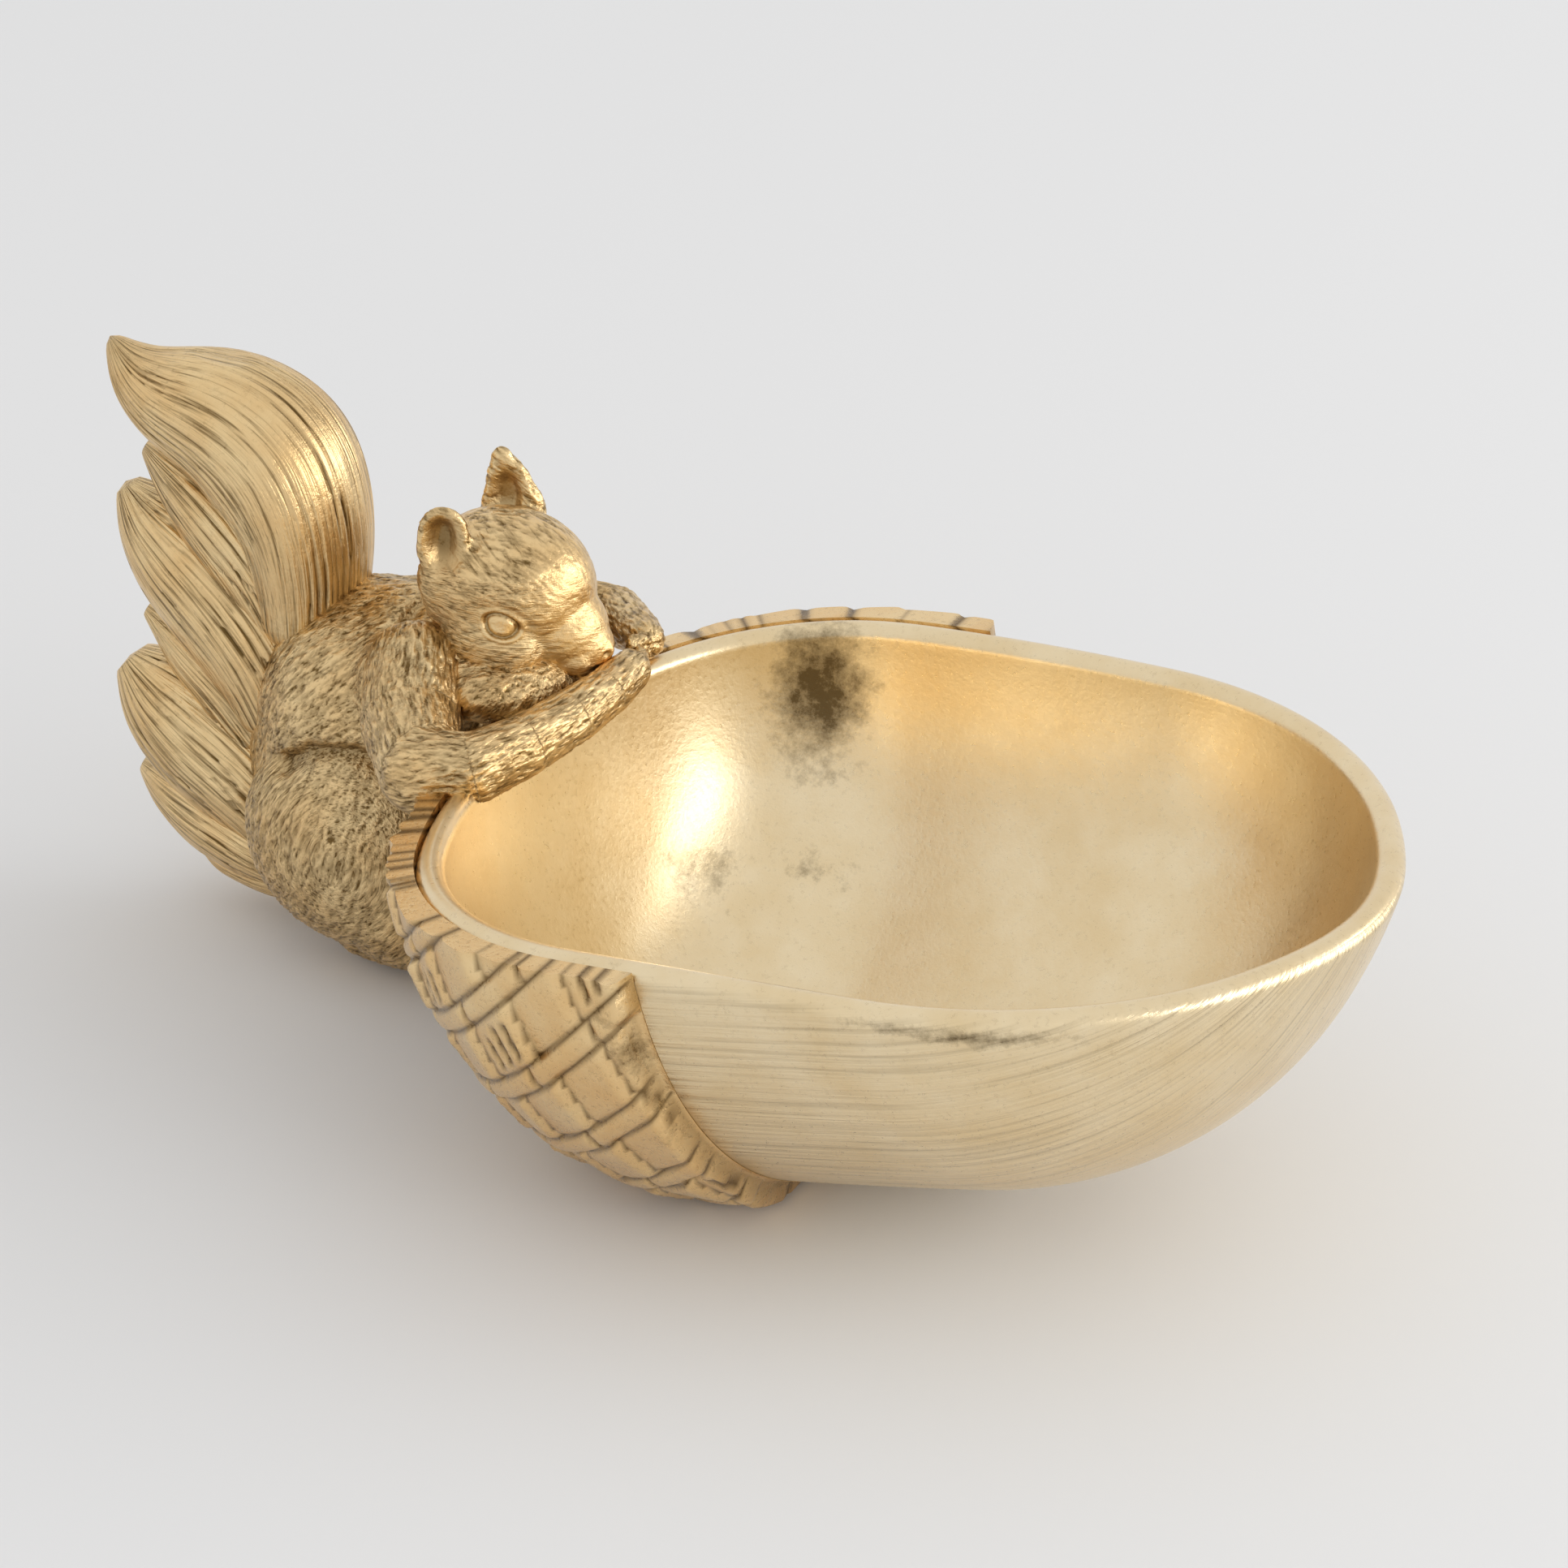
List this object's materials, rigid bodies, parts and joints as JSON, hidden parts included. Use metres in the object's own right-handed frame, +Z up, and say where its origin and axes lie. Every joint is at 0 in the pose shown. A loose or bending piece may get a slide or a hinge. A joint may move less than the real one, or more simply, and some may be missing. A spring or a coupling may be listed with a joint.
{
  "type": "squirrel acorn nut bowl",
  "caption": "Nut bowl cast as a half acorn on its side, with a scaled cap and a squirrel leaning over the rim, covered in pale gold leaf.",
  "frame": {"origin": "centre of the underside of the felt pad under the bowl, on the surface that the bowl stands on", "axes": "+X along the acorn from the cap end, where the squirrel is, to the nut's tip; +Y towards the squirrel's left; +Z up"},
  "size_m": [0.2386, 0.1358, 0.101],
  "materials": {
    "bowl_leaf": "pale gold leaf over smooth cast resin",
    "cap_leaf": "pale gold leaf over carved scales",
    "fur_leaf": "pale gold leaf over carved fur, toned darker in the strokes",
    "pin_steel": "plain drawn steel",
    "pad_felt": "dark brown felt"
  },
  "bodies": {
    "root": {"nut_bowl": "bowl_leaf", "acorn_cap": "cap_leaf", "squirrel_body": "fur_leaf", "squirrel_head": "fur_leaf", "right_foreleg": "fur_leaf", "left_foreleg": "fur_leaf", "tail": "fur_leaf", "cap_pins": "pin_steel", "tail_pins": "pin_steel", "shoulder_pins": "pin_steel", "neck_pin": "pin_steel", "bowl_pad": "pad_felt", "squirrel_pad": "pad_felt"}
  },
  "joints": []
}
